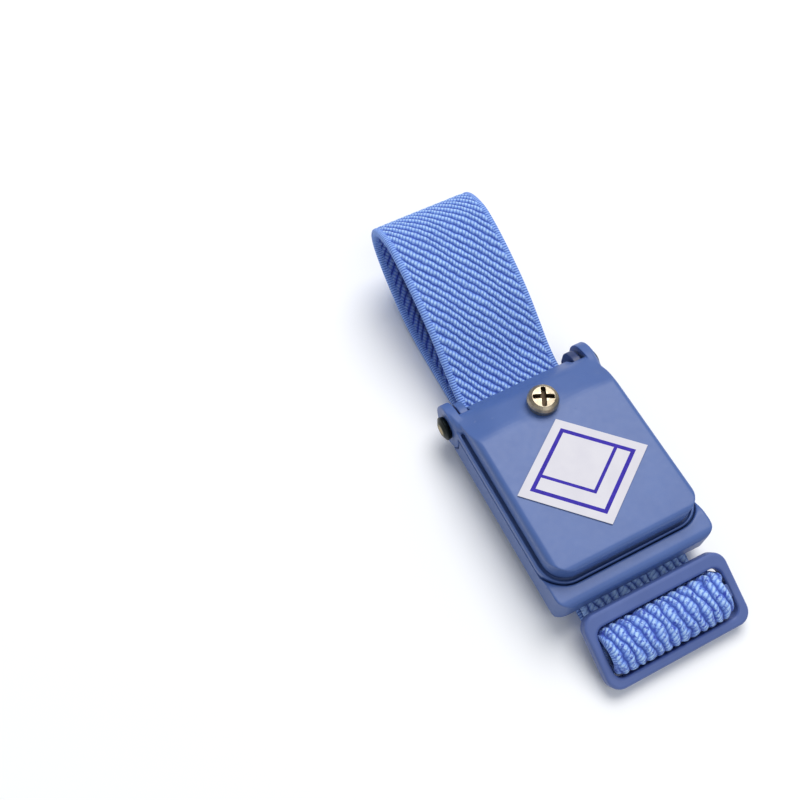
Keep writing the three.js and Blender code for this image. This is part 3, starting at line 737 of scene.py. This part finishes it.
def shape_lid(places):
    """Lets the lid's far corners fall away into the ears, and dents the lid a little round the screw."""
    x = np.abs(places[:, 0]) / MM
    y = (places[:, 1] - ORIGIN_Y) / MM
    z = places[:, 2] / MM
    corner = smooth_step(8.0, 15.5, y) * smooth_step(7.0, 14.0, x) * smooth_step(10.0, 12.5, z)
    from_screw = np.hypot(places[:, 0] / MM, y - SCREW_Y)
    dent = (1 - smooth_step(3.2, 6.0, from_screw)) * smooth_step(12.8, 13.5, z)
    shaped = places.copy()
    shaped[:, 2] -= (LID_CORNER_DROP * corner + SCREW_DENT * dent) * MM
    return shaped


def shape_tray(places):
    """Raises the walls until the seam above them is a hairline, and ramps the near corners down to them."""
    y = (places[:, 1] - ORIGIN_Y) / MM
    z = places[:, 2] / MM
    raised = smooth_step(6.6, 7.8, z) * (1 - smooth_step(WALL_TOP, 9.0, z))
    ramp = smooth_step(-16.5, -12.0, y) * (1 - smooth_step(8.0, 10.0, y))
    shaped = places.copy()
    shaped[:, 2] += (WALL_RAISE * raised - ramp * np.maximum(z - WALL_TOP, 0.0)) * MM
    return shaped


def smooth_shaded(node, material, angle=35.0):
    """Gives a CAD node its finish and smooth shading across its gentle edges."""
    piece = frame["nodes"][node]
    piece.data.materials.clear()
    piece.data.materials.append(material)
    work = bmesh.new()
    work.from_mesh(piece.data)
    for face in work.faces:
        face.smooth = True
    for edge in work.edges:
        edge.smooth = len(edge.link_faces) == 2 and edge.calc_face_angle(0.0) < math.radians(angle)
    work.to_mesh(piece.data)
    work.free()


# ---------- surroundings ----------

def floor():
    """A wide pale floor just under the strap."""
    mesh = bpy.data.meshes.new("floor")
    corners = [(-1, -1), (1, -1), (1, 1), (-1, 1)]
    places = [(x * FLOOR_HALF_SIZE, y * FLOOR_HALF_SIZE, -FLOOR_DROP) for x, y in corners]
    mesh.from_pydata(places, [], [(0, 1, 2, 3)])
    ground = bpy.data.objects.new("floor", mesh)
    bpy.context.scene.collection.objects.link(ground)
    nodes = Nodes("pale_floor", roughness=0.9)
    nodes.set("Base Color", nodes.ramp(nodes.noise(6.0), FLOOR_TONES))
    mesh.materials.append(nodes.material)


def area_light(name, place, aim, size, power, color):
    """A round panel of light that faces a point."""
    data = bpy.data.lights.new(name, "AREA")
    data.shape = "DISK"
    data.size = size
    data.energy = power
    data.color = color
    lamp = bpy.data.objects.new(name, data)
    lamp.location = place
    lamp.rotation_euler = (Vector(aim) - Vector(place)).to_track_quat("-Z", "Y").to_euler()
    bpy.context.scene.collection.objects.link(lamp)


def lighting():
    """Soft studio light: a broad panel beyond the strap, a fill on the near side and a pale surround."""
    centre = at(0, 15, 5)
    area_light("key", centre + KEY_FROM, centre, size=0.8, power=9.4, color=(1.0, 0.99, 0.98))
    area_light("fill", centre + FILL_FROM, centre, size=0.7, power=1.6, color=(0.93, 0.96, 1.0))
    world = bpy.data.worlds.new("surround")
    bpy.context.scene.world = world
    world.use_nodes = True
    sky = world.node_tree.nodes["Background"]
    sky.inputs["Color"].default_value = SKY_COLOR
    sky.inputs["Strength"].default_value = SKY_STRENGTH
    bpy.context.scene.view_settings.view_transform = "Standard"


def camera():
    """The camera at the photograph's viewpoint."""
    data = bpy.data.cameras.new("camera")
    data.lens = VIEW_LENS
    data.clip_start = 0.01
    back = Vector((math.sin(VIEW_AZIMUTH) * math.cos(VIEW_ELEVATION),
                   -math.cos(VIEW_AZIMUTH) * math.cos(VIEW_ELEVATION), math.sin(VIEW_ELEVATION)))
    right = Vector((math.cos(VIEW_AZIMUTH), math.sin(VIEW_AZIMUTH), 0.0))
    up = back.cross(right)
    turned_right = right * math.cos(VIEW_ROLL) + up * math.sin(VIEW_ROLL)
    turned_up = up * math.cos(VIEW_ROLL) - right * math.sin(VIEW_ROLL)
    place = at(*VIEW_TARGET) + back * VIEW_DISTANCE * MM
    eye = bpy.data.objects.new("camera", data)
    axes = Matrix((turned_right, turned_up, back)).transposed().to_4x4()
    eye.matrix_world = Matrix.Translation(place) @ axes
    bpy.context.scene.collection.objects.link(eye)
    bpy.context.scene.camera = eye


# ---------- assembly ----------

def finish_metals():
    """Gives every metal piece its finish."""
    steel = metal_material("steel_finish", *STEEL, 0.32)
    brass = metal_material("brass_finish", *BRASS, 0.3)
    finishes = {
        steel: ("skin_plate", "plate_rivet_left", "plate_rivet_right", "band_clamp", "clamp_rivet_left",
                "clamp_rivet_right", "screw_washer", "strip_lead", "leaf_lead", "leaf_rivet", "grip_plate"),
        brass: ("contact_stud", "screw_nut", "contact_strip", "contact_leaf"),
        screw_material(): ("discharge_screw",),
        pin_material(): ("hinge_pin",),
    }
    for finish, names in finishes.items():
        for name in names:
            smooth_shaded(name, finish)


def finish_plastics():
    """Moulds the tray and lid afresh, and gives the ring, bar, resistor and label their finishes."""
    slate = plastic_material("slate_plastic", *SLATE)
    # The tray carries painted shade round the hinge's right-hand knuckle.
    tray = plastic_material("tray_plastic", *SLATE, with_hinge_shade=True)
    ring = plastic_material("ring_plastic", *RING_SLATE)
    black = plastic_material("black_gloss", *BLACK, 0.25)
    lacquer = plastic_material("resistor_lacquer", *RESISTOR_BLUE, 0.3)
    soft_copy("case_base", "moulded_tray", tray, shape_tray, voxel=0.16, rounds=4)
    soft_copy("case_cover", "moulded_lid", slate, shape_lid, voxel=0.14, rounds=5)
    smooth_shaded("keeper_ring", ring)
    smooth_shaded("fold_bar", black)
    smooth_shaded("series_resistor", lacquer)
    smooth_shaded("label", label_material())


camera()
lighting()
floor()
woven_band()
finish_plastics()
finish_metals()
